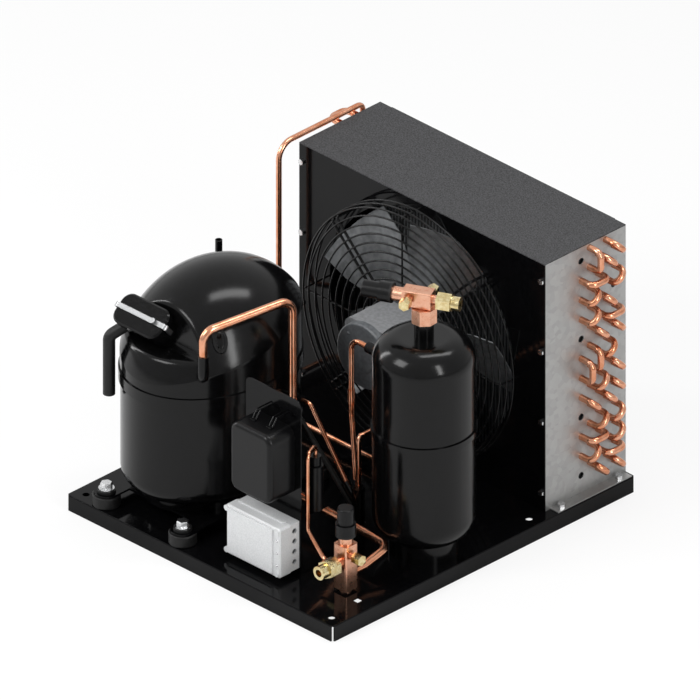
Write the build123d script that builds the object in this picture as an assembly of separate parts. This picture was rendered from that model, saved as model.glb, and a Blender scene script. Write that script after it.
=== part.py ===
from build123d import *

import math
import os

# Air-cooled refrigeration condensing unit, in millimetres, +Z up.
# Everything is modelled from the tray's front left corner: x runs right along the front
# edge, y runs back to the coil, z is height above the tray's top face. keep() then moves
# each finished part so that the origin is the centre of the footprint, on the ground.

# ---------------------------------------------------------------- driving sizes
BASE_X, BASE_Y, RIM_H, SHEET = 510.0, 580.0, 24.0, 2.0
MOUNT_D, MOUNT_INSET, MOUNT_FRONT, MOUNT_PITCH = 10.0, 20.0, 18.0, 378.0

# Condenser: casing, coil and tube circuit
CASE_LEFT, CASE_RIGHT, CASE_FRONT, CASE_BACK, CASE_TOP = 22.0, 492.0, 424.0, 579.0, 386.0
CASE_T = 1.5
FOOT_W = 16.0
TUBE_D, TUBE_WALL, OPEN_HOLE_D = 9.52, 0.7, 10.0
COLUMNS, ROWS = 5, 24
COLUMN_PITCH, ROW_PITCH = 15.5, 15.22
FIRST_COLUMN_Y, TOP_ROW_Z = 493.5, 378.5
TUBE_OUT = 1.5             # tube end beyond the end plate
BEND_OUT = 21.0            # centre line of a return bend beyond the tube end
LEFT_EXTRA = 4.0           # the left bends reach as far past the tray as the right ones

# Fan, motor and guard
FAN_X, FAN_Z = (CASE_LEFT + CASE_RIGHT) / 2, 193.0
FAN_HOLE_R, BLADE_R, HUB_R, BLADE_COUNT = 176.0, 170.0, 30.0, 5
SHAFT_R = 6.0
MOTOR_FRONT, MOTOR_CAP_Y, MOTOR_BACK = 309.0, 320.0, 392.0
MOTOR_SIDE, MOTOR_CAP_R = 88.0, 48.7
GUARD_R, GUARD_RINGS, GUARD_STEP, GUARD_DEPTH = 189.5, 11, 13.0, 40.6
WIRE_D, ARM_D, ARM_GAP = 2.6, 4.0, 12.0

# Compressor
COMP_X, COMP_Y = 130.0, 147.0
BAND_A, BAND_B = 111.5, 138.7        # half-axes of the weld band
BAND_LOW, BAND_HIGH = 194.6, 211.8
LOWER_IN, UPPER_IN = 3.0, 2.0        # how far each half shell sits inside the band
SHELL_T, SHELL_LOW = 4.0, 35.0
SHELL_SPLIT = 206.0
LEDGE_Z, CREST_Y, CROWN_Z, ROUND_R = 264.0, 73.0, 348.0, 10.0
DOME_Y, DOME_Z, DOME_AXES = 160.0, 200.0, (122.0, 152.0, 148.0)
FOOT_DX, FOOT_DY = 73.0, 127.0
GROMMET_R, PLATE_Z, PLATE_T = 19.6, 17.0, 3.0
BOLT_R = 4.0

# Receiver
REC_X, REC_Y, REC_R, REC_T = 444.0, 241.0, 70.7, 3.0
REC_LOW, REC_WALL_TOP, REC_TOP, REC_SEAM = 22.0, 295.0, 331.0, 185.0
PEDESTAL_R = 48.7
REC_NECK_R, REC_NECK_TOP = 13.5, 354.0
VALVE_TURN, VALVE_Z = 26.0, 389.0    # long axis of the receiver valve, from x

# Suction service valve
SUC_X, SUC_Y, SUC_SIDE, SUC_LOW, SUC_TOP = 450.0, 85.0, 24.0, 4.0, 73.0
SUC_NECK = 88.0            # underside of the stem cap
TAP_X = 429.0              # end of the pressure tap

# Valve details shared by both service valves
STEM_R, NECK_R, CAP_R, CAP_TIP_R = 5.5, 10.0, 14.2, 11.8
NECK_END, CAP_START, CAP_STEP, CAP_END = 60.0, 47.3, 63.0, 87.4
PORT_R, PORT_END = 6.8, 34.0

# Pipes
SUCTION_D, DISCHARGE_D, LINK_D, TAP_D, PIPE_WALL = 12.0, 8.0, 6.35, 6.35, 0.8
DRIER_TOP = 66.0

# Electrics
PANEL_X0, PANEL_X1, PANEL_Y, PANEL_H, PANEL_T = 273.0, 378.0, 71.0, 268.0, 1.5

FIT = 0.3                  # gap between pieces that come apart
RUN = 0.05                 # radial gap of turning and sliding fits
parts = {}


def keep(name, *shapes):
    """Files one node, moved to the centre of the footprint."""
    solids = [solid for shape in shapes for solid in shape.solids()]
    shift = Pos(-BASE_X / 2, -BASE_Y / 2, RIM_H)
    parts[name] = shift * Compound(children=solids)


def box(x0, x1, y0, y1, z0, z1):
    """A block between two corners."""
    return Pos((x0 + x1) / 2, (y0 + y1) / 2, (z0 + z1) / 2) * Box(x1 - x0, y1 - y0, z1 - z0)


def rod(radius, start, direction, length):
    """A round bar from a point along a direction."""
    return extrude(Plane(origin=start, z_dir=direction) * Circle(radius), length)


def sleeve(outer, inner, start, direction, length):
    """A round bar with a through hole."""
    return extrude(Plane(origin=start, z_dir=direction) * (Circle(outer) - Circle(inner)), length)


def hexagon(flats, start, direction, length, bore=0.0):
    """A hexagonal nut or bolt head, drilled when a bore is given."""
    outline = RegularPolygon(flats / 2, 6, major_radius=False)
    if bore:
        outline -= Circle(bore)
    return extrude(Plane(origin=start, z_dir=direction) * outline, length)


def along(points, bend, section):
    """Sweeps a section along straight runs joined by round bends."""
    path = FilletPolyline(*points, radius=bend)
    return sweep(Plane(origin=path @ 0, z_dir=path % 0) * section, path=path)


def pipe(points, bend, outer, wall=PIPE_WALL):
    """A bent copper pipe."""
    return along(points, bend, Circle(outer / 2) - Circle(outer / 2 - wall))


def biggest(shape):
    """The main solid left after a cut."""
    return max(shape.solids(), key=lambda solid: solid.volume)


# ---------------------------------------------------------------- tray
def tray():
    """Folded steel tray with open corners and mounting holes."""
    body = box(0, BASE_X, 0, BASE_Y, -RIM_H, 0)
    body = fillet(body.edges().group_by(Axis.Z)[-1], 1.8)
    body -= box(SHEET, BASE_X - SHEET, SHEET, BASE_Y - SHEET, -RIM_H, -SHEET)
    for x in (0, BASE_X):
        for y in (0, BASE_Y):
            body -= Pos(x, y, -RIM_H / 2) * Cylinder(4, 2 * RIM_H)
    for x in (MOUNT_INSET, BASE_X - MOUNT_INSET):
        for y in (MOUNT_FRONT, MOUNT_FRONT + MOUNT_PITCH):
            body -= Pos(x, y, 0) * Cylinder(MOUNT_D / 2, 3 * SHEET)
    body -= Pos(482, 76, 0) * Box(10.5, 10.5, 3 * SHEET)
    keep("base_tray", body)


# ---------------------------------------------------------------- condenser
RIGHT_PAIRS = [
    ((3, 0), (4, 1)), ((1, 0), (1, 2)), ((2, 1), (3, 2)), ((4, 3), (3, 4)), ((0, 3), (2, 3)),
    ((1, 4), (0, 5)), ((2, 5), (3, 6)), ((1, 6), (0, 7)), ((2, 7), (4, 7)), ((3, 8), (4, 9)),
    ((1, 8), (2, 9)), ((3, 10), (2, 11)), ((1, 10), (1, 12)), ((0, 11), (0, 13)),
    ((2, 13), (1, 14)), ((3, 12), (4, 13)), ((3, 14), (4, 15)), ((2, 15), (3, 16)),
    ((0, 15), (1, 16)), ((4, 17), (3, 18)), ((2, 17), (1, 18)), ((4, 19), (3, 20)),
    ((0, 19), (2, 19)), ((1, 20), (0, 21)), ((2, 21), (4, 21)), ((3, 22), (4, 23)),
    ((1, 22), (2, 23)),
]
INLET = (4, 1)


def tube_yz(tube):
    """Centre of a coil tube from its column and row."""
    column, row = tube
    return FIRST_COLUMN_Y + column * COLUMN_PITCH, TOP_ROW_Z - row * ROW_PITCH


def clear_of(point, first, second):
    """Distance from a point to a straight segment."""
    span = math.dist(first, second)
    ux, uy = (second[0] - first[0]) / span, (second[1] - first[1]) / span
    dx, dy = point[0] - first[0], point[1] - first[1]
    step = min(max(dx * ux + dy * uy, 0), span)
    return math.hypot(dx - step * ux, dy - step * uy)


def crosses(first, second, third, fourth):
    """Whether two segments cross or pass closer than one tube."""
    def side(a, b, c):
        return (b[0] - a[0]) * (c[1] - a[1]) - (b[1] - a[1]) * (c[0] - a[0])

    near = min(clear_of(first, third, fourth), clear_of(second, third, fourth),
               clear_of(third, first, second), clear_of(fourth, first, second))
    split_a = side(first, second, third) * side(first, second, fourth) < 0
    split_b = side(third, fourth, first) * side(third, fourth, second) < 0
    return near < TUBE_D + FIT or (split_a and split_b)


def left_pairs(partner):
    """Joins the free left tube ends into one circuit, top to bottom, without crossings."""
    def allowed(start, end, chosen):
        a, b = tube_yz(start), tube_yz(end)
        others = [tube_yz(t) for t in partner if t not in (start, end)]
        if math.dist(a, b) > 36 or min(clear_of(o, a, b) for o in others) < TUBE_D + FIT:
            return False
        return not any(crosses(a, b, tube_yz(p), tube_yz(q)) for p, q in chosen)

    def walk(here, free, chosen):
        if not free:
            return chosen
        order = sorted(free, key=lambda t: (t[1] + 0.3 * abs(t[0] - here[0]),
                                            math.dist(tube_yz(t), tube_yz(here))))
        for nxt in order:
            if allowed(here, nxt, chosen):
                rest = free - {nxt, partner[nxt]}
                found = walk(partner[nxt], rest, chosen + [(here, nxt)])
                if found:
                    return found
        return None

    first = partner[INLET]
    return walk(first, frozenset(partner) - {INLET, first}, [])


def return_bend(pair, x, side):
    """One U-shaped bend between two tube ends on one side of the coil."""
    (y0, z0), (y1, z1) = tube_yz(pair[0]), tube_yz(pair[1])
    out = x + BEND_OUT if side > 0 else x - BEND_OUT - LEFT_EXTRA
    points = [(x, y0, z0), (out, y0, z0), (out, y1, z1), (x, y1, z1)]
    return pipe(points, 10.0, TUBE_D, TUBE_WALL)


def end_plate(x0, x1, side):
    """Galvanised tube sheet with folded edges and a bolted foot."""
    plate = box(x0, x1, CASE_FRONT + CASE_T, CASE_BACK, 0, CASE_TOP - CASE_T)
    inner = x0 if side > 0 else x1
    fold = sorted((inner, inner - side * 13))
    top = CASE_TOP - CASE_T
    plate += box(*fold, CASE_FRONT + CASE_T, CASE_FRONT + 2 * CASE_T, 0, top)
    plate += box(*fold, CASE_BACK - CASE_T, CASE_BACK, 0, top)
    outer = x1 if side > 0 else x0
    foot = sorted((outer, outer + side * FOOT_W))
    plate += box(*foot, CASE_FRONT + 10, CASE_BACK - 4, 0, CASE_T)
    for y in (448, 558):
        plate -= rod(3.2, (outer + side * 8, y, -1), (0, 0, 1), 4)
    holes = []
    for column in range(COLUMNS):
        for row in range(1 - column % 2, ROWS, 2):
            y, z = tube_yz((column, row))
            fitted = any((column, row) in pair for pair in RIGHT_PAIRS)
            radius = TUBE_D / 2 if fitted else OPEN_HOLE_D / 2
            holes.append(rod(radius, (x0 - 1, y, z), (1, 0, 0), x1 - x0 + 2))
    return plate - Compound(children=holes)


def condenser():
    """Casing, tube sheets, fin block and the tube circuit."""
    right_in, left_in = CASE_RIGHT - CASE_T, CASE_LEFT + CASE_T
    top = CASE_TOP - CASE_T
    keep("end_plate_right", end_plate(right_in, CASE_RIGHT, 1))
    keep("end_plate_left", end_plate(CASE_LEFT, left_in, -1))
    panel = box(CASE_LEFT, CASE_RIGHT, CASE_FRONT, CASE_FRONT + CASE_T, 0, top)
    centre = (FAN_X, CASE_FRONT - 1, FAN_Z)
    collar = sleeve(FAN_HOLE_R + CASE_T, FAN_HOLE_R, (FAN_X, CASE_FRONT, FAN_Z), (0, 1, 0), 22)
    keep("fan_panel", panel - rod(FAN_HOLE_R + 0.5, centre, (0, 1, 0), 5) + collar)
    cover = box(CASE_LEFT, CASE_RIGHT, CASE_FRONT, CASE_BACK, top, CASE_TOP)
    cover += box(left_in + 20, right_in - 20, CASE_BACK, CASE_BACK + 1, top - 14, CASE_TOP)
    cover += box(left_in + 20, right_in - 20, CASE_BACK - CASE_T, CASE_BACK, top - 14, top)
    keep("top_cover", cover)

    tubes = sorted({tube for pair in RIGHT_PAIRS for tube in pair})
    block = box(left_in + 5, right_in - 5, FIRST_COLUMN_Y - COLUMN_PITCH / 2,
                FIRST_COLUMN_Y + (COLUMNS - 0.5) * COLUMN_PITCH, 8, top - 1)
    x0, x1 = CASE_LEFT - TUBE_OUT, CASE_RIGHT + TUBE_OUT
    bars, pipes = [], []
    for tube in tubes:
        y, z = tube_yz(tube)
        bars.append(rod(TUBE_D / 2, (x0, y, z), (1, 0, 0), x1 - x0))
        pipes.append(sleeve(TUBE_D / 2, TUBE_D / 2 - TUBE_WALL, (x0, y, z), (1, 0, 0), x1 - x0))
    keep("fin_block", block - Compound(children=bars))
    keep("coil_tubes", *pipes)
    keep("return_bends_right", *[return_bend(pair, x1, 1) for pair in RIGHT_PAIRS])
    partner = {a: b for pair in RIGHT_PAIRS for a, b in (pair, pair[::-1])}
    joined = left_pairs(partner)
    keep("return_bends_left", *[return_bend(pair, x0, -1) for pair in joined])

    screws = []
    for x in (CASE_LEFT + 5.5, CASE_RIGHT - 5.5):
        for step in range(4):
            z = 28 + 110 * step
            screws.append(hexagon(8, (x, CASE_FRONT, z), (0, -1, 0), 3.5))
    for x in (CASE_LEFT - 8, CASE_RIGHT + 8):
        for y in (448, 558):
            head = hexagon(10, (x, y, CASE_T), (0, 0, 1), 5)
            screws.append(head + rod(3, (x, y, 0.05), (0, 0, 1), 3))
    keep("casing_screws", *screws)
    return partner[joined[-1][1]]


# ---------------------------------------------------------------- fan
def blade(turn):
    """One pitched blade, trimmed to the wheel's radius."""
    with BuildSketch(Plane.XZ) as outline:
        with BuildLine():
            Polyline((26, -14), (60, -36), (120, -56), (180, -60), (180, 60), (120, 50),
                     (60, 28), (26, 14), (26, -14))
        make_face()
    flat = extrude(outline.sketch, 1.6)
    return Pos(FAN_X, 425, FAN_Z) * Rot(0, turn, 0) * Rot(26, 0, 0) * flat


def fan():
    """Wheel, motor and wire guard."""
    axis = (0, 1, 0)
    swept = rod(BLADE_R, (FAN_X, 390, FAN_Z), axis, 70)
    wheel = rod(HUB_R, (FAN_X, 411, FAN_Z), axis, 26)
    for step in range(BLADE_COUNT):
        wheel += blade(step * 360 / BLADE_COUNT) & swept
    keep("fan_wheel", wheel - rod(SHAFT_R, (FAN_X, 400, FAN_Z), axis, 50))

    outline = Plane(origin=(FAN_X, MOTOR_CAP_Y, FAN_Z), z_dir=axis)
    shell = extrude(outline * RectangleRounded(MOTOR_SIDE, MOTOR_SIDE, 14),
                    MOTOR_BACK - MOTOR_CAP_Y)
    shell -= rod(40, (FAN_X, MOTOR_CAP_Y - 1, FAN_Z), axis, 64)
    shell -= rod(SHAFT_R + RUN, (FAN_X, MOTOR_CAP_Y, FAN_Z), axis, 90)
    keep("motor_body", shell)
    cap = rod(MOTOR_CAP_R, (FAN_X, MOTOR_FRONT, FAN_Z), axis, MOTOR_CAP_Y - MOTOR_FRONT)
    cap = fillet(cap.edges().group_by(Axis.Y)[0], 3)
    keep("motor_cap", cap)
    keep("motor_stator", sleeve(40, 24.5, (FAN_X, 330, FAN_Z), axis, 44))
    rotor = rod(24, (FAN_X, 332, FAN_Z), axis, 40)
    rotor += rod(SHAFT_R, (FAN_X, 324, FAN_Z), axis, 114)
    keep("motor_rotor", rotor)

    front = CASE_FRONT - GUARD_DEPTH
    corner = 2 * WIRE_D * (1 - math.sqrt(0.5))     # seats the rim ring in the bars' bends
    places = [(GUARD_R - corner, front + corner), (GUARD_R, front + 13), (GUARD_R, front + 26)]
    places += [(GUARD_R - step * GUARD_STEP, front) for step in range(1, GUARD_RINGS)]
    rings = []
    for radius, y in places:
        rings.append(Pos(FAN_X, y, FAN_Z) * Rot(90, 0, 0) * Torus(radius, WIRE_D / 2))
    wires = [guard_bar(quarter * 90, 0, WIRE_D, 58) for quarter in range(4)]
    keep("fan_guard", *rings, *wires)
    arms = []
    body = extrude(outline * RectangleRounded(MOTOR_SIDE, MOTOR_SIDE, 14), 72)
    for quarter in range(4):
        for offset in (-ARM_GAP / 2, ARM_GAP / 2):
            arms.append(biggest(guard_bar(45 + quarter * 90, offset, ARM_D, 46) - body))
    keep("motor_arms", *arms)


def guard_bar(turn, offset, size, start):
    """One bar from the middle of the guard out to its rim and back to the panel."""
    plane_y = CASE_FRONT - GUARD_DEPTH + WIRE_D / 2 + size / 2
    reach = math.sqrt((GUARD_R - WIRE_D / 2 - size / 2) ** 2 - offset ** 2)
    points = [(start, plane_y, offset), (reach, plane_y, offset), (reach, CASE_FRONT, offset)]
    return Pos(FAN_X, 0, FAN_Z) * Rot(0, -turn, 0) * along(points, size, Circle(size / 2))


# ---------------------------------------------------------------- compressor
def oval(inset, z, height):
    """A slab of the shell's oval."""
    return extrude(Pos(COMP_X, COMP_Y, z) * Ellipse(BAND_A - inset, BAND_B - inset), height)


def crown(inset):
    """The domed crown, cut back at the front to a ledge and the terminal face."""
    low, high = SHELL_SPLIT, CROWN_Z + 10
    dome = Pos(COMP_X, DOME_Y, DOME_Z) * scale(Sphere(100), by=tuple(
        (axis - inset) / 100 for axis in DOME_AXES))
    face = CREST_Y - 13 + inset
    with BuildSketch(Plane.YZ) as side:
        with BuildLine():
            Polyline((300, low), (0, low), (0, LEDGE_Z - inset), (face, LEDGE_Z - inset),
                     (CREST_Y + 4 + inset, high), (300, high), (300, low))
        make_face()
    return oval(UPPER_IN + inset, low, 200) & dome & extrude(side.sketch, 320)


def upper_outside():
    """The upper half shell as a filled shape, edges rounded."""
    body = crown(0).solid()
    body = fillet([edge for edge in body.edges() if edge.center().Z > SHELL_SPLIT + 5], ROUND_R)
    return body + oval(0, BAND_LOW, BAND_HIGH - BAND_LOW)


def compressor():
    """Welded shell on its foot plate, with the motor and pump inside."""
    lower = oval(LOWER_IN, SHELL_LOW, SHELL_SPLIT - SHELL_LOW)
    lower = fillet(lower.edges().group_by(Axis.Z)[0], 28)
    hollow = oval(LOWER_IN + SHELL_T, SHELL_LOW + SHELL_T, 200)
    hollow = fillet(hollow.edges().group_by(Axis.Z)[0], 24)
    keep("compressor_lower_shell", lower - hollow)
    filled = upper_outside()
    upper = filled - oval(LOWER_IN, BAND_LOW - 1, SHELL_SPLIT - BAND_LOW + 1)
    keep("compressor_upper_shell", upper - crown(5).solid())
    outside = filled + oval(LOWER_IN, SHELL_LOW + 20, SHELL_SPLIT - SHELL_LOW - 20)

    feet = [(COMP_X + sx * FOOT_DX, COMP_Y + sy * FOOT_DY, sy) for sx in (-1, 1) for sy in (-1, 1)]
    plate = extrude(Pos(COMP_X, COMP_Y, PLATE_Z) * RectangleRounded(178, 200, 20), PLATE_T)
    for x, y, sy in feet:
        plate += rod(17, (x, y, PLATE_Z), (0, 0, 1), PLATE_T)
        plate += box(x - 17, x + 17, *sorted((y, y - sy * 50)), PLATE_Z, PLATE_Z + PLATE_T)
    seat = oval(LOWER_IN + 30, PLATE_Z, SHELL_LOW - PLATE_Z)
    plate += seat - oval(LOWER_IN + 34, PLATE_Z - 1, 30)
    grommets, bolts = [], []
    top = PLATE_Z + PLATE_T
    for x, y, _ in feet:
        plate -= rod(8, (x, y, PLATE_Z - 1), (0, 0, 1), PLATE_T + 2)
        cushion = rod(GROMMET_R, (x, y, 0), (0, 0, 1), PLATE_Z)
        cushion = fillet(cushion.edges(), 2)
        cushion += rod(8, (x, y, PLATE_Z - 3), (0, 0, 1), PLATE_T + 3)
        cushion += rod(13, (x, y, top), (0, 0, 1), 4)
        grommets.append(cushion - rod(BOLT_R, (x, y, -1), (0, 0, 1), 60))
        bolt = rod(11, (x, y, top + 4), (0, 0, 1), 1.8)
        bolt += rod(BOLT_R, (x, y, 0.05), (0, 0, 1), top + 5)
        head = hexagon(15, (x, y, top + 5.8), (0, 0, 1), 8)
        bolts.append(bolt + chamfer(head.edges().group_by(Axis.Z)[-1], 1))
    keep("compressor_foot_plate", plate)
    keep("foot_grommets", *grommets)
    keep("foot_bolts", *bolts)
    compressor_inside()
    return outside


def compressor_inside():
    """Springs, stator, pump block, crankshaft and piston."""
    cx, cy, low = COMP_X, COMP_Y, SHELL_LOW + SHELL_T
    up = (0, 0, 1)
    springs = [rod(8, (cx + sx * 38, cy + sy * 42, low), up, 70 - low)
               for sx in (-1, 1) for sy in (-1, 1)]
    keep("compressor_stator", sleeve(72, 40, (cx, cy, 70), up, 60))
    block = sleeve(72, 9 + RUN, (cx, cy, 130), up, 20)
    block += box(cx - 32, cx + 32, cy + 34, cy + 70, 149, 215)
    block -= rod(24, (cx, cy + 30, 183), (0, 1, 0), 50)
    keep("pump_block", block, *springs)
    crank = rod(39, (cx, cy, 74), up, 52) + rod(9, (cx, cy, 62), up, 100)
    crank += rod(22, (cx, cy, 151), up, 10) + rod(7, (cx + 12, cy, 160), up, 30)
    keep("crankshaft", crank)
    keep("piston", rod(24 - RUN, (cx, cy + 42, 183), (0, 1, 0), 20))


def terminal(outside):
    """Terminal fence, cover, strap and the cable elbow."""
    place = Pos(101, 43.5, 301) * Rot(40, 0, 0)
    fence = extrude(place * RectangleRounded(82, 41, 13), -60)
    fence = biggest(fence - outside)
    fence -= extrude(place * Pos(0, 0, -22) * RectangleRounded(74, 33, 9), 23)
    keep("terminal_fence", fence)
    lid = extrude(place * Pos(0, 0, -9) * RectangleRounded(88, 47, 16), 12.3)
    lid = chamfer(lid.edges().group_by(Axis((0, 0, 0), (0, -0.6428, 0.766)))[-1], 2.5)
    lid -= extrude(place * Pos(0, 0, -10) * RectangleRounded(82 + 2 * FIT, 41 + 2 * FIT, 13), 10)
    keep("terminal_cover", lid)
    path = [(-48, 0, -14), (-48, 0, 4.3), (48, 0, 4.3), (48, 0, -14)]
    strap = along(path, 5, Rectangle(1.6, 7))
    strap += box(-47.5, -41, -3, 3, -15.5, -12.5)
    strap += box(41, 47.5, -3, 3, -15.5, -12.5)
    strap += rod(4, (26, 0, 5), (0, 0, 1), 4)
    keep("terminal_strap", place * strap)
    route = [(59, 23, 172), (59, 23, 262), (74, 44, 278)]
    elbow = along(route, 12, Circle(8.5) - Circle(6.5))
    keep("cable_elbow", biggest(elbow - outside - parts_local("terminal_fence")))


def parts_local(name):
    """A filed node, moved back to the tray's corner."""
    return Pos(BASE_X / 2, BASE_Y / 2, -RIM_H) * parts[name]


# ---------------------------------------------------------------- receiver and its valve
def receiver():
    """Liquid receiver of two drawn halves on a ring foot."""
    up = (0, 0, 1)
    lower = rod(REC_R, (REC_X, REC_Y, REC_LOW), up, REC_SEAM - REC_LOW)
    lower = fillet(lower.edges().group_by(Axis.Z)[0], 36)
    inner = rod(REC_R - REC_T, (REC_X, REC_Y, REC_LOW + REC_T), up, 300)
    inner = fillet(inner.edges().group_by(Axis.Z)[0], 33)
    foot = sleeve(PEDESTAL_R, PEDESTAL_R - 3, (REC_X, REC_Y, 0), up, 32)
    keep("receiver_lower_shell", lower + foot - inner)
    upper = rod(REC_R, (REC_X, REC_Y, REC_SEAM), up, REC_TOP - REC_SEAM)
    upper = fillet(upper.edges().group_by(Axis.Z)[-1], REC_TOP - REC_WALL_TOP)
    upper += rod(REC_R + 2.2, (REC_X, REC_Y, REC_SEAM), up, 8)
    hollow = rod(REC_R - REC_T, (REC_X, REC_Y, REC_SEAM - 1), up, REC_TOP - REC_SEAM - REC_T + 1)
    hollow = fillet(hollow.edges().group_by(Axis.Z)[-1], REC_TOP - REC_WALL_TOP - REC_T)
    stub = rod(8, (337, REC_Y, 269), (1, 0, 0), 50) + rod(REC_NECK_R, (REC_X, REC_Y, 320), up, 34)
    upper = upper + stub - hollow
    upper -= rod(LINK_D / 2 + 0.8, (336, REC_Y, 269), (1, 0, 0), 60)
    upper -= rod(6, (REC_X, REC_Y, 320), up, 40)
    keep("receiver_upper_shell", upper)


def capped_stem(tag, place):
    """Turning stem, seal ring and screwed cap of a valve whose stem points along -x."""
    back = (-1, 0, 0)
    keep(f"{tag}_valve_stem", place * rod(STEM_R - RUN, (-NECK_END - 8, 0, 0), (1, 0, 0), 53.5))
    seal = sleeve(CAP_R, NECK_R + RUN, (3 - CAP_START, 0, 0), back, 3)
    keep(f"{tag}_cap_seal", place * seal)
    cap = rod(CAP_R, (-CAP_START, 0, 0), back, CAP_STEP - CAP_START)
    cap += rod(CAP_TIP_R, (-CAP_STEP, 0, 0), back, CAP_END - CAP_STEP)
    cap = fillet(cap.edges().group_by(Axis.X)[0], 2)
    cap -= rod(NECK_R + RUN, (1 - CAP_START, 0, 0), back, NECK_END + 2 - CAP_START)
    cap -= rod(7, (1 - CAP_START, 0, 0), back, NECK_END + 14 - CAP_START)
    keep(f"{tag}_stem_cap", place * cap)


def flare_joint(tag, place):
    """Flare nut on its loose sealing bonnet; both sit on a port that points along +x."""
    out = (1, 0, 0)
    bonnet = sleeve(7.5, 3.2, (PORT_END, 0, 0), out, 4)
    keep(f"{tag}_flare_bonnet", place * bonnet)
    nut = hexagon(24, (PORT_END - 14, 0, 0), out, 20) + rod(10, (PORT_END + 6, 0, 0), out, 12)
    nut -= rod(PORT_R + RUN, (PORT_END - 15, 0, 0), out, 15)
    nut -= rod(7.5 + RUN, (PORT_END - 0.5, 0, 0), out, 4.5)
    nut -= rod(5.5, (PORT_END, 0, 0), out, 60)
    keep(f"{tag}_flare_nut", place * nut)


def side_port(start, way, length):
    """A short service port with its hexagonal brass cap."""
    sx, sy, sz = start
    wx, wy, wz = way
    tip = (sx + wx * length, sy + wy * length, sz + wz * length)
    return rod(5, start, way, length + 6), hexagon(14, tip, way, 14)


def receiver_valve():
    """Service valve on the receiver's neck."""
    place = Pos(REC_X, REC_Y, VALVE_Z) * Rot(0, 0, VALVE_TURN)
    body = box(-28.6, 12.9, -11, 11, -12.5, 12.5)
    body = fillet(body.edges().filter_by(Axis.X), 2)
    foot_z = REC_NECK_TOP - VALVE_Z
    body += extrude(Pos(0, 0, foot_z) * RegularPolygon(17, 8, major_radius=False), 22.5)
    body += rod(NECK_R, (-28, 0, 0), (-1, 0, 0), NECK_END - 28)
    body += rod(PORT_R, (12, 0, 0), (1, 0, 0), PORT_END - 12)
    front_port, front_cap = side_port((-19, -8, 0), (0, -1, 0), 8)
    back_port, back_cap = side_port((4, 8, 0), (0, 1, 0), 8)
    body += front_port + back_port
    body -= rod(STEM_R, (-NECK_END - 1, 0, 0), (1, 0, 0), NECK_END - 13)
    body -= rod(3.2, (-20, 0, 0), (1, 0, 0), 90)
    body -= rod(5, (0, 0, -80), (0, 0, 1), 78)
    keep("receiver_valve_body", place * body)
    caps = [front_cap - front_port, back_cap - back_port]
    dip = sleeve(5, 4, (0, 0, REC_LOW + 14 - VALVE_Z), (0, 0, 1), VALVE_Z - REC_LOW - 16)
    keep("receiver_dip_tube", place * dip)
    capped_stem("receiver", place)
    flare_joint("receiver", place)
    return [place * cap for cap in caps]


def suction_valve():
    """Suction service valve: upright copper block, stem on top, flare port to the front."""
    half, up = SUC_SIDE / 2, (0, 0, 1)
    block = box(SUC_X - half, SUC_X + half, SUC_Y - half, SUC_Y + half, SUC_LOW, SUC_TOP)
    body = fillet(block.edges().filter_by(Axis.Z), 3)
    body += rod(9, (SUC_X, SUC_Y, 0), up, SUC_LOW + 1)
    lift = SUC_NECK - CAP_START
    body += rod(NECK_R, (SUC_X, SUC_Y, SUC_TOP - 1), up, lift + NECK_END - SUC_TOP + 1)
    body += rod(PORT_R, (SUC_X, SUC_Y, 46), (0, -1, 0), PORT_END)
    access, access_cap = side_port((SUC_X + half - 3, SUC_Y, 57), (1, 0, 0), 8)
    tap, tap_nut = side_port((SUC_X - half + 3, SUC_Y, 31), (-1, 0, 0), 6)
    body += access + tap
    body -= rod(STEM_R, (SUC_X, SUC_Y, lift + 14), up, 60)
    body -= rod(4.2, (SUC_X, SUC_Y, 18), up, 60)
    body -= rod(3.2, (SUC_X, SUC_Y, 46), (0, -1, 0), 60)
    body -= rod(SUCTION_D / 2, (SUC_X, SUC_Y + half + 1, 23), (0, -1, 0), 5)
    body -= rod(3.2, (SUC_X, SUC_Y + half, 23), (0, -1, 0), half)
    keep("suction_valve_body", body)
    # The stem parts are drawn along -x and stood upright on the block.
    upright = Pos(SUC_X, SUC_Y, lift) * Rot(0, 90, 0)
    capped_stem("suction", upright)
    flare_joint("suction", Pos(SUC_X, SUC_Y, 46) * Rot(0, 0, -90))
    tap_bore = rod(TAP_D / 2, (TAP_X, SUC_Y, 31), (-1, 0, 0), 20)
    return [access_cap - access, tap_nut - tap - tap_bore]


# ---------------------------------------------------------------- pipework
def stubs(outside):
    """Black steel stubs brazed into the compressor shell."""
    suction = along([(185, 70, 246), (216, 46, 246), (216, 46, 285)], 14,
                    Circle(8) - Circle(SUCTION_D / 2))
    discharge = sleeve(6, DISCHARGE_D / 2, (100, 255, 150), (0, 1, 0), 47)
    process = along([(75, 222, 232), (40, 252, 232), (40, 252, 311)], 12, Circle(5) - Circle(3.5))
    tap = sleeve(5, LINK_D / 2, (215, 203, 166), (1, 0, 0), 35)
    cut = [biggest(stub - outside) for stub in (suction, discharge, process, tap)]
    keep("compressor_stubs", *cut)


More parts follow.
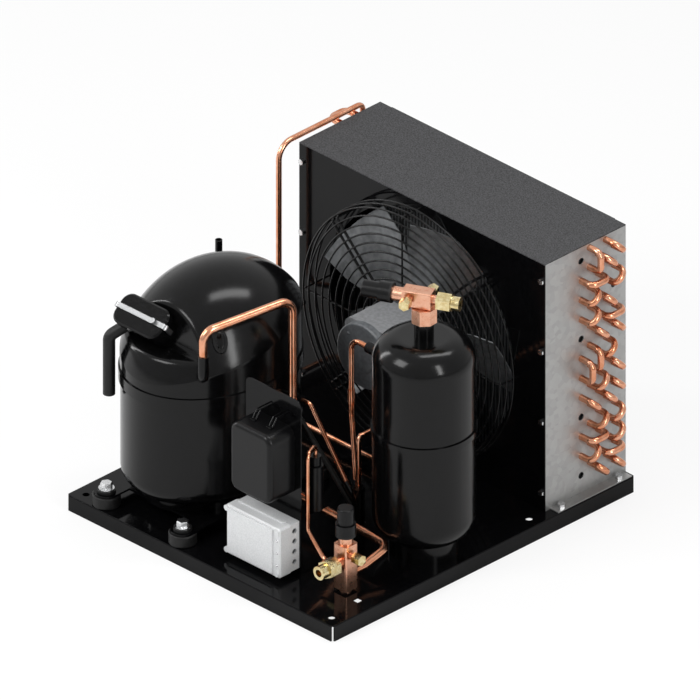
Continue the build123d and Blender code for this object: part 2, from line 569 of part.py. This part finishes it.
def pipework(outlet):
    """Copper lines between compressor, coil, receiver and valves."""
    y_in, z_in = tube_yz(INLET)
    y_out, z_out = tube_yz(outlet)
    end = CASE_LEFT - TUBE_OUT
    keep("suction_line", pipe([(216, 46, 285), (216, 46, 322), (254.5, 178.7, 336),
                               (254.5, 178.7, 36), (450, 168, 34), (450, 120, 23),
                               (450, SUC_Y + SUC_SIDE / 2 - 4, 23)], 18, SUCTION_D))
    keep("discharge_line", pipe([(100, 302, 150), (100, 346, 150), (12, 395, 150), (12, 395, 389),
                                 (12, y_in, 389), (12, y_in, z_in), (end, y_in, z_in)],
                                (16, 16, 24, 10, 8), DISCHARGE_D))
    keep("condenser_outlet", pipe([(end, y_out, z_out), (8, y_out, z_out), (8, 468, z_out),
                                   (8, 468, 14), (8, 345, 14), (347, 345, 14), (347, 345, 144),
                                   (347, 212, 144), (347, 212, DRIER_TOP)], 8, DISCHARGE_D))
    body = rod(9, (347, 212, 0), (0, 0, 1), DRIER_TOP)
    body += rod(7, (347, 212, 40), (-0.71, 0, 0.704), 34)
    body += rod(6, (347, 212, 44), (-0.2, 0.2, 0.96), 24)
    body -= rod(DISCHARGE_D / 2, (347, 212, DRIER_TOP), (0, 0, 1), 30)
    keep("filter_drier", body)
    riser = pipe([(337, REC_Y, 269), (305, REC_Y, 269), (305, REC_Y, 150), (338, 217, 72)],
                 16, LINK_D + 1.6)
    joint = sleeve(LINK_D / 2 + 1.8, LINK_D / 2 + 0.5, (305, REC_Y, 168), (0, 0, 1), 22)
    link = pipe([(250, 203, 166), (264, 203, 166), (330, 212, 57)], 8, LINK_D)
    keep("liquid_lines", biggest(riser + joint - body), biggest(link - body))
    keep("pressure_tube", pipe([(TAP_X, SUC_Y, 31), (408, SUC_Y, 31), (377, 85, 63),
                                (377, 85, 180), (365, 112, 180), (365, 112, 164)], 9, TAP_D))


# ---------------------------------------------------------------- electrics
def electrics():
    """Bracket plate with its starter box, terminal box and pressure switch."""
    y = PANEL_Y
    plate = box(PANEL_X0, PANEL_X1, y, y + PANEL_T, 0, PANEL_H)
    plate = fillet(plate.edges().filter_by(Axis.Y).group_by(Axis.Z)[-1], 10)
    plate += box(PANEL_X0, PANEL_X1, y, y + 22, 0, 1.5)
    shelf = box(348, 372, y + PANEL_T, 130, 80, 81.5)
    keep("electrics_bracket", plate + shelf)
    starter = box(288, 366, y - 32, y, 118, 224)
    starter = fillet(starter.edges().filter_by(Axis.Y), 14)
    starter -= fillet(box(292, 362, y - 33, y - 3, 122, 220).edges().filter_by(Axis.Y), 10)
    keep("starter_box", starter)
    lid = box(288, 366, y - 47, y - 32, 118, 224)
    lid = fillet(lid.edges().filter_by(Axis.Y), 14)
    lid = fillet(lid.edges().group_by(Axis.Y)[0], 7)
    keep("starter_box_lid", lid - fillet(box(293, 361, y - 42, y - 31, 123, 219).edges().filter_by(Axis.Y), 10))
    terminal_body = box(276, 375, y - 18, y, 9, 82)
    terminal_body -= box(279, 372, y - 19, y - 3, 12, 79)
    for step in range(4):
        terminal_body -= rod(4, (370, y - 9, 22 + step * 16), (1, 0, 0), 8)
    keep("terminal_box", terminal_body)
    cover = box(274, 377, y - 39, y - 18, 7, 84)
    cover = fillet(cover.edges().filter_by(Axis.Y), 4)
    cover = chamfer(cover.edges().group_by(Axis.Y)[0], 2)
    keep("terminal_box_lid", cover - box(277, 374, y - 36, y - 17, 10, 81))
    switch = rod(11, (365, 112, 81.5), (0, 0, 1), 68) + rod(8, (365, 112, 149), (0, 0, 1), 15)
    keep("pressure_switch", switch - rod(TAP_D / 2, (365, 112, 160), (0, 0, 1), 10))


if __name__ == "__main__":
    os.makedirs("parts", exist_ok=True)
    tray()
    outlet = condenser()
    fan()
    shell = compressor()
    terminal(shell)
    receiver()
    caps = receiver_valve() + suction_valve()
    keep("port_caps", *caps)
    stubs(shell)
    pipework(outlet)
    electrics()
    for name, shape in parts.items():
        export_step(shape, f"parts/{name}.step")
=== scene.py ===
# %% [markdown]
# # Air-cooled condensing unit
#
# The real thing is a small refrigeration machine bolted together on one folded steel tray.
# A hermetic compressor, a finned coil with its fan, a liquid receiver and two service valves
# are joined by copper pipe. The solid parts come ready modelled, so this lesson is mostly about
# giving every one of them the finish it has in the workshop, and about lighting black enamel.

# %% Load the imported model
import math

import bmesh
import bpy
from mathutils import Matrix, Vector


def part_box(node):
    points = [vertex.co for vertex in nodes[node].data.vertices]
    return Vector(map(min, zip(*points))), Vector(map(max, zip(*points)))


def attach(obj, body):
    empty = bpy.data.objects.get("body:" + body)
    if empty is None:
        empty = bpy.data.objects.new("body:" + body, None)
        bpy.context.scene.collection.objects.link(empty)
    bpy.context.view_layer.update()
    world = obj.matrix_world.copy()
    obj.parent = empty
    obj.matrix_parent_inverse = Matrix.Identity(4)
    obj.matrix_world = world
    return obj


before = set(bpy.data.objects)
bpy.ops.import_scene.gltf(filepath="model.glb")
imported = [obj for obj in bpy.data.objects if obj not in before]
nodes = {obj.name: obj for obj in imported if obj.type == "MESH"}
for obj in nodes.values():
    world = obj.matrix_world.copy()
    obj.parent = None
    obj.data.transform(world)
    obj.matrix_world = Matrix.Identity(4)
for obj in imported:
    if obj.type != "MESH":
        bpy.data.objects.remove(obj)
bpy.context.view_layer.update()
print("parts:", len(nodes))

# %% [markdown]
# ## Helpers for colour and shader nodes
#
# Colours are picked as sRGB hex, as on a paint card, but shaders work in linear light, so one
# function turns one into the other. A second adds a node with its settings and its links, and a
# third starts a material or a world with nothing in it; everything else is written out with them.

# %% Colour and node helpers
MM = 0.001


def linear(code):
    """An sRGB hex colour as linear red, green, blue and alpha."""
    values = [int(code[i:i + 2], 16) / 255 for i in (1, 3, 5)]
    return [v / 12.92 if v <= 0.04045 else ((v + 0.055) / 1.055) ** 2.4 for v in values] + [1.0]


def add(tree, kind, links=(), **settings):
    """Adds a node, sets sockets by name or attributes, and links its inputs."""
    node = tree.nodes.new(kind)
    for key, value in settings.items():
        name = key.replace("_", " ")
        if hasattr(node, key):
            setattr(node, key, value)
        else:
            node.inputs[name].default_value = value
    for socket, source in links:
        tree.links.new(source, node.inputs[socket])
    return node


def blank(kind, name):
    """A new material or world of that name, with its emptied node tree."""
    made = kind.new(name)
    made.use_nodes = True
    made.node_tree.nodes.clear()
    return made, made.node_tree


print("black enamel in linear light:", [round(v, 4) for v in linear("#101011")])

# %% [markdown]
# ## One recipe for a finish
#
# Every workshop finish varies a little: paint has orange peel, metal has a drawn or rolled
# grain. The recipe mixes two close colours with a noise pattern, lets the same noise move the
# roughness, and lifts the surface by a real height. The pattern's size is given in millimetres
# because the models are in metres at true size.

# %% The finish recipe
def finish(name, dark, light, roughness, grain, height=0.02, metallic=0.0, spread=0.05,
           stretch=(1, 1, 1), **surface):
    """A material with two mottled colours; grain and height are in millimetres."""
    material, tree = blank(bpy.data.materials, name)
    place = add(tree, "ShaderNodeTexCoord")
    turned = add(tree, "ShaderNodeMapping", [("Vector", place.outputs["Object"])],
                 Scale=[s / (grain * MM) for s in stretch])
    noise = add(tree, "ShaderNodeTexNoise", [("Vector", turned.outputs["Vector"])],
                Scale=1.0, Detail=3.0, Roughness=0.55)
    colour = add(tree, "ShaderNodeValToRGB", [("Fac", noise.outputs["Fac"])])
    colour.color_ramp.elements[0].position = 0.35
    colour.color_ramp.elements[0].color = linear(dark)
    colour.color_ramp.elements[1].position = 0.65
    colour.color_ramp.elements[1].color = linear(light)
    rough = add(tree, "ShaderNodeMapRange", [("Value", noise.outputs["Fac"])],
                To_Min=max(roughness - spread, 0.02), To_Max=roughness + spread)
    bump = add(tree, "ShaderNodeBump", [("Height", noise.outputs["Fac"])],
               Strength=0.6, Distance=height * MM)
    skin = add(tree, "ShaderNodeBsdfPrincipled",
               [("Base Color", colour.outputs["Color"]), ("Roughness", rough.outputs["Result"]),
                ("Normal", bump.outputs["Normal"])], Metallic=metallic)
    for key, value in surface.items():
        skin.inputs[key.replace("_", " ")].default_value = value
    add(tree, "ShaderNodeOutputMaterial", [("Surface", skin.outputs["BSDF"])])
    return material


print("a grain of 6 mm is", 6 * MM, "of a scene unit")

# %% [markdown]
# ## Black enamel and powder coat
#
# The tray, the shells and the fan panel are stove enamelled: a thick glossy black film that
# mirrors its surroundings and has a faint orange peel. Paint films usually have an IOR near 1.5;
# it is set lower here, so that a deep black stays deep under a white studio. The casing's top is
# a textured powder coat instead, matt and dark grey with a coarse speckle that hides scratches.

# %% Paints
enamel = finish("gloss black enamel", "#050506", "#09090a", 0.1, 6.0, 0.004, IOR=1.22,
                spread=0.02)
shell_enamel = finish("thick black shell enamel", "#050505", "#080809", 0.17, 9.0, 0.015,
                      IOR=1.3, spread=0.03)
powder_coat = finish("dark grey textured powder coat", "#161617", "#48484a", 0.6, 1.8, 0.15,
                     IOR=1.4)
guard_enamel = finish("black dipped guard wire", "#060606", "#0c0c0d", 0.22, 3.0, 0.01, IOR=1.3)
motor_enamel = finish("light grey motor enamel", "#7c7d7f", "#8f9092", 0.35, 5.0, 0.02)
disc_enamel = finish("dark grey motor enamel", "#55585b", "#66696c", 0.35, 5.0, 0.02)
print("paints:", enamel.name, "|", powder_coat.name)

# %% [markdown]
# ## Copper, brass and steel
#
# Refrigeration tube is drawn copper, bright and smooth with a slow change of tint. The valve
# bodies are forged from a pinker copper alloy and stay satin. Nuts and caps are turned brass.
# A metal's colour sits in its reflection, so metallic is 1 and the IOR stays at its default.

# %% Metals
copper = finish("drawn copper tube", "#cb8562", "#dfa486", 0.22, 14.0, 0.002, metallic=1.0,
                spread=0.03)
valve_copper = finish("forged copper alloy", "#d49a7e", "#e0ad92", 0.28, 7.0, 0.003,
                      metallic=1.0, spread=0.03)
brass = finish("turned brass", "#c6b07c", "#ddd0a4", 0.2, 5.0, 0.002, metallic=1.0)
zinc = finish("bright zinc plate", "#c2c3c4", "#e2e3e4", 0.25, 2.0, 0.01, metallic=1.0)
steel = finish("bare machined steel", "#8e8f90", "#a6a7a8", 0.3, 1.2, 0.01, metallic=1.0)
iron = finish("sand cast iron", "#4c4c4d", "#626263", 0.6, 1.5, 0.1, metallic=0.7)
blade_metal = finish("rolled aluminium blade", "#7e8082", "#9a9c9e", 0.3, 9.0, 0.02,
                     metallic=0.8)
print("metals:", copper.name, "|", brass.name)

# %% [markdown]
# ## Plastic and rubber
#
# The electrical boxes are moulded: light grey ABS below, black above, both with a fine spark
# eroded texture. The compressor's terminal cover is a polished phenolic and mirrors like the
# enamel. Grommets, the cable elbow and the tube sleeve are matt black rubber.

# %% Mouldings
black_plastic = finish("moulded black plastic", "#060607", "#0b0b0c", 0.3, 1.2, 0.015, IOR=1.3)
cover_plastic = finish("polished black phenolic", "#040404", "#080809", 0.16, 4.0, 0.01, IOR=1.25)
grey_plastic = finish("light grey moulded ABS", "#c6c8c9", "#d6d7d8", 0.42, 1.5, 0.02)
rubber = finish("black rubber", "#0a0a0a", "#121212", 0.5, 1.8, 0.03, IOR=1.35)
print("mouldings:", grey_plastic.name, "|", rubber.name)

# %% [markdown]
# ## Galvanised sheet and the fin pack
#
# Hot dip zinc freezes into flat crystals called spangle, some 8 mm across, each with its own
# shade. The coil's fins are thin aluminium sheets 2 mm apart, which is too fine to show at this
# scale, so a band pattern is drawn at a 6 mm pitch that lifts the block with a bump and paints
# shade on it: the dark bands are painted shade for the gaps between fins, and the fin faces are
# darkened below bare aluminium as painted shade.

# %% Spangle
SPANGLE = 8 * MM


def spangled_zinc():
    """Galvanised steel with a shade of its own for each crystal."""
    material, tree = blank(bpy.data.materials, "galvanised steel sheet")
    place = add(tree, "ShaderNodeTexCoord")
    cells = add(tree, "ShaderNodeTexVoronoi", [("Vector", place.outputs["Object"])],
                Scale=1 / SPANGLE)
    shade = add(tree, "ShaderNodeSeparateColor", [("Color", cells.outputs["Color"])])
    colour = add(tree, "ShaderNodeValToRGB", [("Fac", shade.outputs["Red"])])
    colour.color_ramp.elements[0].color = linear("#9b9b9a")
    colour.color_ramp.elements[1].color = linear("#a6a6a5")
    rough = add(tree, "ShaderNodeMapRange", [("Value", shade.outputs["Green"])],
                To_Min=0.36, To_Max=0.44)
    skin = add(tree, "ShaderNodeBsdfPrincipled",
               [("Base Color", colour.outputs["Color"]), ("Roughness", rough.outputs["Result"])],
               Metallic=0.75)
    add(tree, "ShaderNodeOutputMaterial", [("Surface", skin.outputs["BSDF"])])
    return material


galvanised = spangled_zinc()
print("spangle:", SPANGLE / MM, "mm on", galvanised.name)

# %% Fins
FIN_PITCH = 2 * MM
DRAWN_PITCH = 3 * FIN_PITCH
WAVE_LENGTH = math.pi / 10      # of the wave texture at a scale of 1, from one band to the next


def fins_with_painted_gap_shade():
    """Upright fins as bands along x, with dark bands of painted shade for the gaps and fin faces
    darkened as painted shade.
    """
    material, tree = blank(bpy.data.materials, "stacked aluminium fins with painted shade")
    place = add(tree, "ShaderNodeTexCoord")
    bands = add(tree, "ShaderNodeTexWave", [("Vector", place.outputs["Object"])],
                wave_type="BANDS", bands_direction="X", Scale=WAVE_LENGTH / DRAWN_PITCH)
    colour = add(tree, "ShaderNodeValToRGB", [("Fac", bands.outputs["Fac"])])
    # Painted shade: the dark colour stands for the shaded gaps between fins, and the light colour
    # is fin faces darkened below bare aluminium.
    colour.color_ramp.elements[0].color = linear("#111213")
    colour.color_ramp.elements[1].color = linear("#707274")
    bump = add(tree, "ShaderNodeBump", [("Height", bands.outputs["Fac"])],
               Strength=0.8, Distance=0.6 * MM)
    skin = add(tree, "ShaderNodeBsdfPrincipled",
               [("Base Color", colour.outputs["Color"]), ("Normal", bump.outputs["Normal"])],
               Metallic=0.8, Roughness=0.4)
    add(tree, "ShaderNodeOutputMaterial", [("Surface", skin.outputs["BSDF"])])
    return material


fins = fins_with_painted_gap_shade()
print("fins:", DRAWN_PITCH / MM, "mm apart as drawn on", fins.name)

# %% [markdown]
# ## Dress the parts
#
# The list goes finish by finish, the way the parts would be sorted in the paint shop. Any part
# that the list forgets is reported, because an undressed part would render plain.

# %% Assign the finishes
dress = {
    enamel: "base_tray fan_panel electrics_bracket compressor_foot_plate",
    shell_enamel: "compressor_lower_shell compressor_upper_shell compressor_stubs "
                  "terminal_fence receiver_lower_shell receiver_upper_shell filter_drier",
    powder_coat: "top_cover",
    guard_enamel: "fan_guard motor_arms",
    motor_enamel: "motor_body",
    disc_enamel: "motor_cap",
    copper: "coil_tubes return_bends_left return_bends_right suction_line discharge_line "
            "condenser_outlet liquid_lines pressure_tube receiver_dip_tube "
            "receiver_flare_bonnet suction_flare_bonnet",
    valve_copper: "receiver_valve_body suction_valve_body",
    brass: "port_caps receiver_flare_nut suction_flare_nut",
    zinc: "casing_screws foot_bolts",
    steel: "terminal_strap compressor_stator crankshaft motor_stator motor_rotor "
           "receiver_valve_stem suction_valve_stem",
    iron: "pump_block",
    blade_metal: "fan_wheel piston",
    galvanised: "end_plate_left end_plate_right",
    fins: "fin_block",
    cover_plastic: "terminal_cover",
    black_plastic: "pressure_switch starter_box starter_box_lid "
                   "receiver_stem_cap suction_stem_cap",
    grey_plastic: "terminal_box terminal_box_lid",
    rubber: "foot_grommets cable_elbow receiver_cap_seal suction_cap_seal",
}
dressed = set()
for material, names in dress.items():
    for name in names.split():
        slots = nodes[name].material_slots
        for slot in slots:
            slot.link = "OBJECT"
            slot.material = material
        if not slots:
            nodes[name].data.materials.append(material)
        dressed.add(name)
print("undressed:", sorted(set(nodes) - dressed))

# %% [markdown]
# ## Small fittings
#
# Screws, clips, bosses and a sleeved tube finish the unit. Each one is built in place from a few
# boxes and round heads, from the corners of the part that carries it, and then rides on the body
# of that part, so that a lid takes its own screws along.

# %% Shapes for the fittings
HEAD_SIDES = 40
SHARP = math.radians(35)       # edges steeper than this stay crisp
FORWARD = (0, -1, 0)


def slab(bm, low, high, edge=0.6):
    """A box between two corners in metres, its edges bevelled by some millimetres."""
    low, high = Vector(low), Vector(high)
    place = Matrix.Translation((low + high) / 2) @ Matrix.Diagonal((*(high - low), 1))
    corners = bmesh.ops.create_cube(bm, size=1, matrix=place)["verts"]
    edges = {side for corner in corners for side in corner.link_edges}
    bmesh.ops.bevel(bm, geom=list(edges), offset=edge * MM, segments=3, affect="EDGES")


def head(bm, foot, axis, radius, height, tip=1.0, stretch=1.0):
    """A round head of some millimetres that stands on foot; tip narrows its top."""
    turn = Vector(axis).to_track_quat("Z", "Y").to_matrix().to_4x4()
    place = (Matrix.Translation(foot) @ turn @ Matrix.Diagonal((1, stretch, 1, 1))
             @ Matrix.Translation((0, 0, height * MM / 2)))
    bmesh.ops.create_cone(bm, cap_ends=True, segments=HEAD_SIDES, radius1=radius * MM,
                          radius2=radius * tip * MM, depth=height * MM, matrix=place)


def fitting(name, material, body, build):
    """Builds one fitting, smooths it by angle, paints it and lets it ride on a body."""
    bm = bmesh.new()
    build(bm)
    mesh = bpy.data.meshes.new(name)
    bm.to_mesh(mesh)
    bm.free()
    piece = bpy.data.objects.new(name, mesh)
    bpy.context.collection.objects.link(piece)
    mesh.materials.append(material)
    mesh.shade_smooth()
    mesh.set_sharp_from_angle(angle=SHARP)
    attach(piece, body)
    print(name, "has", len(mesh.polygons), "faces and rides on", body)


# %% [markdown]
# ### Terminal box lid
#
# The lid of the lower box is an injection moulding. Its front stands proud of a step on the right
# that three screws go through, four round bosses take the corners, a tab sticks out to the left
# and a ledge runs along the top. A plain box can't show that, so the forms are laid over it.

# %% Terminal box lid
PROUD, STEP_WIDTH, INSET, TAB = 2.2 * MM, 13 * MM, 4 * MM, 4 * MM
BOSS_RADIUS, BOSS_IN = 4.5, 6 * MM


def lid_mouldings(bm):
    """A raised front, corner bosses, a side tab and a ledge along the top."""
    low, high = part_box("terminal_box_lid")
    slab(bm, (low.x + INSET, low.y - PROUD, low.z + INSET),
         (high.x - STEP_WIDTH, low.y + MM, high.z - INSET))
    depth = (high.y - low.y) / MM + 1
    for z in (low.z + BOSS_IN, high.z - BOSS_IN):
        for x in (low.x + MM, high.x - BOSS_IN):
            head(bm, (x, high.y, z), FORWARD, BOSS_RADIUS, depth, tip=0.94)
    middle = (low.z + high.z) / 2
    slab(bm, (low.x - TAB, high.y - 12 * MM, middle - 7 * MM),
         (low.x + MM, high.y, middle + 7 * MM))
    slab(bm, (low.x + 8 * MM, high.y - 6 * MM, high.z - MM),
         (high.x - 8 * MM, high.y, high.z + 2 * MM))


def lid_screws(bm):
    """Three screws down the right edge of the lid."""
    low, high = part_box("terminal_box_lid")
    for share in (0.25, 0.5, 0.75):
        z = low.z + share * (high.z - low.z)
        head(bm, (high.x - BOSS_IN, low.y + 0.2 * MM, z), FORWARD, 2.2, 1.4, tip=0.7)


fitting("terminal_lid_mouldings", grey_plastic, "terminal_lid", lid_mouldings)
fitting("terminal_lid_screws", zinc, "terminal_lid", lid_screws)

# %% [markdown]
# ### Starter box clips and the sleeved tube
#
# Two spring wire clips reach from the bracket over the top of the starter box and hold it. Each
# is a pair of bent wires with a pad at its tip, so straight rods that meet at the bend do. Behind
# the bracket a tube in a black rubber sleeve runs down from the compressor to the drier.

# %% Starter box clips and the sleeved tube
WIRE, WIRE_SPREAD = 1.1, 3 * MM
SLEEVE = 4.0


def starter_clips(bm):
    """Two wire clips that hook over the top of the starter box."""
    low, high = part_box("starter_box")
    for share in (0.3, 0.7):
        x = low.x + share * (high.x - low.x)
        for side in (x - WIRE_SPREAD, x + WIRE_SPREAD):
            head(bm, (side, high.y - 24 * MM, high.z - MM), (0, 0.62, 0.78), WIRE, 17)
            head(bm, (side, high.y - 13.4 * MM, high.z + 12.2 * MM), (0, 1, 0), WIRE, 13.6)
        slab(bm, (x - 5 * MM, high.y - 27 * MM, high.z - MM),
             (x + 5 * MM, high.y - 21 * MM, high.z + 2 * MM))


def sleeved_tube(bm):
    """A straight tube in a black sleeve, from the compressor down to the drier's foot."""
    low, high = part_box("filter_drier")
    foot = Vector((high.x - 9 * MM, low.y + 18 * MM, low.z + 5 * MM))
    top = foot + Vector((-120, -20, 151)) * MM
    head(bm, foot, top - foot, SLEEVE, (top - foot).length / MM)


fitting("starter_clips", black_plastic, "unit", starter_clips)
fitting("sleeved_tube", rubber, "unit", sleeved_tube)

# %% [markdown]
# ### Motor disc and the boss on the shell
#
# The fan motor's front disc has a shallow pressed ring and four screws at 45 degrees. The dome of
# the compressor carries an oval boss, which is pressed out of the shell and painted with it.

# %% Motor disc and the boss on the shell
SCREW_CIRCLE = 37 * MM
BOSS_FACES = Vector((0.708, -0.431, 0.559))     # square to the dome at the boss


def motor_heads(bm):
    """Four screws and a pressed ring on the motor's front disc."""
    low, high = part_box("motor_cap")
    middle = (low + high) / 2
    for quarter in range(4):
        angle = math.radians(45 + 90 * quarter)
        place = (middle.x + SCREW_CIRCLE * math.cos(angle), low.y,
                 middle.z + SCREW_CIRCLE * math.sin(angle))
        head(bm, place, FORWARD, 3.0, 1.6, tip=0.8)
    head(bm, (middle.x, low.y, middle.z), FORWARD, 24, 1.2, tip=0.94)


def shell_boss(bm):
    """An oval boss pressed out of the dome, facing right and up."""
    low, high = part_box("compressor_upper_shell")
    foot = Vector((high.x - 34.5 * MM, low.y + 78.7 * MM, high.z - 60 * MM))
    sunk, raised = foot - BOSS_FACES * 2 * MM, foot + BOSS_FACES * 2 * MM
    head(bm, sunk, BOSS_FACES, 12, 4.5, tip=0.86, stretch=1.6)
    head(bm, raised, BOSS_FACES, 7, 1.6, tip=0.8, stretch=1.8)


fitting("motor_disc_heads", disc_enamel, "unit", motor_heads)
fitting("shell_boss", shell_enamel, "unit", shell_boss)

# %% [markdown]
# ## Floor, backdrop and light
#
# Black enamel shows its surroundings more than its own colour, so the studio is plain: a pale
# floor, a white world, and large soft lamps whose reflections draw the long highlights down the
# shells. The floor is mostly white to the camera but keeps a faint contact shadow. In mirror
# images the world is brightest above and to the left, which models the domes with light and dark.

# %% Studio floor
FLOOR_WHITE = 0.8              # share of plain white that the camera sees on the floor


def studio_floor():
    """A wide pale floor just under the tray."""
    bpy.ops.mesh.primitive_plane_add(size=12, location=(0, 0, -0.0005))
    floor = bpy.context.object
    floor.name = "studio_floor"
    material, tree = blank(bpy.data.materials, "pale studio paper")
    path = add(tree, "ShaderNodeLightPath")
    paper = add(tree, "ShaderNodeBsdfDiffuse", Color=linear("#f4f4f4"))
    glow = add(tree, "ShaderNodeEmission", Color=(1, 1, 1, 1), Strength=1.0)
    share = add(tree, "ShaderNodeMath", [(0, path.outputs["Is Camera Ray"])],
                operation="MULTIPLY")
    share.inputs[1].default_value = FLOOR_WHITE
    mixed = add(tree, "ShaderNodeMixShader",
                [(0, share.outputs[0]), (1, paper.outputs[0]), (2, glow.outputs[0])])
    add(tree, "ShaderNodeOutputMaterial", [("Surface", mixed.outputs[0])])
    floor.data.materials.append(material)
    print(floor.name, "is", floor.dimensions.x, "m wide")


studio_floor()

# %% Studio world
BRIGHT_SIDE = (-0.55, 0.2, 0.81)


def studio_world():
    """White to the camera, shaded in reflections and softer as a source of light."""
    bpy.context.scene.world, tree = blank(bpy.data.worlds, "studio")
    path = add(tree, "ShaderNodeLightPath")
    seen = add(tree, "ShaderNodeMath", [(0, path.outputs["Is Camera Ray"]),
                                        (1, path.outputs["Is Transmission Ray"])],
               operation="MAXIMUM")
    way = add(tree, "ShaderNodeTexCoord")
    lift = add(tree, "ShaderNodeVectorMath", [(0, way.outputs["Generated"])],
               operation="DOT_PRODUCT")
    lift.inputs[1].default_value = BRIGHT_SIDE
    gloss = add(tree, "ShaderNodeMapRange", [("Value", lift.outputs["Value"])],
                From_Min=-0.6, From_Max=1.0, To_Min=0.26, To_Max=0.85)
    mirrored = add(tree, "ShaderNodeMath", [(0, path.outputs["Is Glossy Ray"]),
                                            (1, gloss.outputs["Result"])], operation="MULTIPLY")
    bright = add(tree, "ShaderNodeMath", [(0, seen.outputs[0]), (1, mirrored.outputs[0])],
                 operation="MAXIMUM")
    level = add(tree, "ShaderNodeMapRange", [("Value", bright.outputs[0])],
                To_Min=0.45, To_Max=1.0)
    back = add(tree, "ShaderNodeBackground", [("Strength", level.outputs["Result"])],
               Color=(1, 1, 1, 1))
    add(tree, "ShaderNodeOutputWorld", [("Surface", back.outputs[0])])


studio_world()
print("world:", bpy.context.scene.world.name)

# %% Soft lamps
def softbox(name, place, size, power, aim=(0, 0, 0.2)):
    """A large square lamp turned towards the unit."""
    lamp = bpy.data.lights.new(name, "AREA")
    lamp.shape = "RECTANGLE"
    lamp.size, lamp.size_y = size
    lamp.energy = power
    holder = bpy.data.objects.new(name, lamp)
    holder.location = place
    holder.rotation_euler = (Vector(place) - Vector(aim)).to_track_quat("Z", "Y").to_euler()
    bpy.context.collection.objects.link(holder)


softbox("key softbox", (-0.6, -2.2, 2.2), (1.2, 1.2), 42)
softbox("right strip", (2.4, -0.4, 1.4), (0.35, 1.8), 26)
softbox("left strip", (-2.2, -1.0, 1.2), (0.3, 1.8), 22)
softbox("top strip", (0.3, 0.6, 2.4), (0.4, 1.6), 18)

# %% [markdown]
# ## Camera
#
# The view is a parallel projection, turned 45 degrees around the unit and raised 30 degrees, as
# in a catalogue: parallel edges stay parallel.

# %% Camera
AZIMUTH, ELEVATION = math.radians(45), math.radians(30)
back = Vector((math.cos(ELEVATION) * math.sin(AZIMUTH),
               -math.cos(ELEVATION) * math.cos(AZIMUTH), math.sin(ELEVATION)))
target = Vector((0.0166, -0.0184, 0.2491))
WIDTH_SHOWN, DISTANCE = 0.94745, 4
lens = bpy.data.cameras.new("catalogue view")
lens.type = "ORTHO"
lens.ortho_scale = WIDTH_SHOWN
lens.clip_end = 5 * DISTANCE
camera = bpy.data.objects.new("catalogue view", lens)
camera.location = target + DISTANCE * back
camera.rotation_euler = back.to_track_quat("Z", "Y").to_euler()
bpy.context.collection.objects.link(camera)
bpy.context.scene.camera = camera
bpy.context.scene.view_settings.view_transform = "Standard"
print("camera at", [round(v, 3) for v in camera.location])
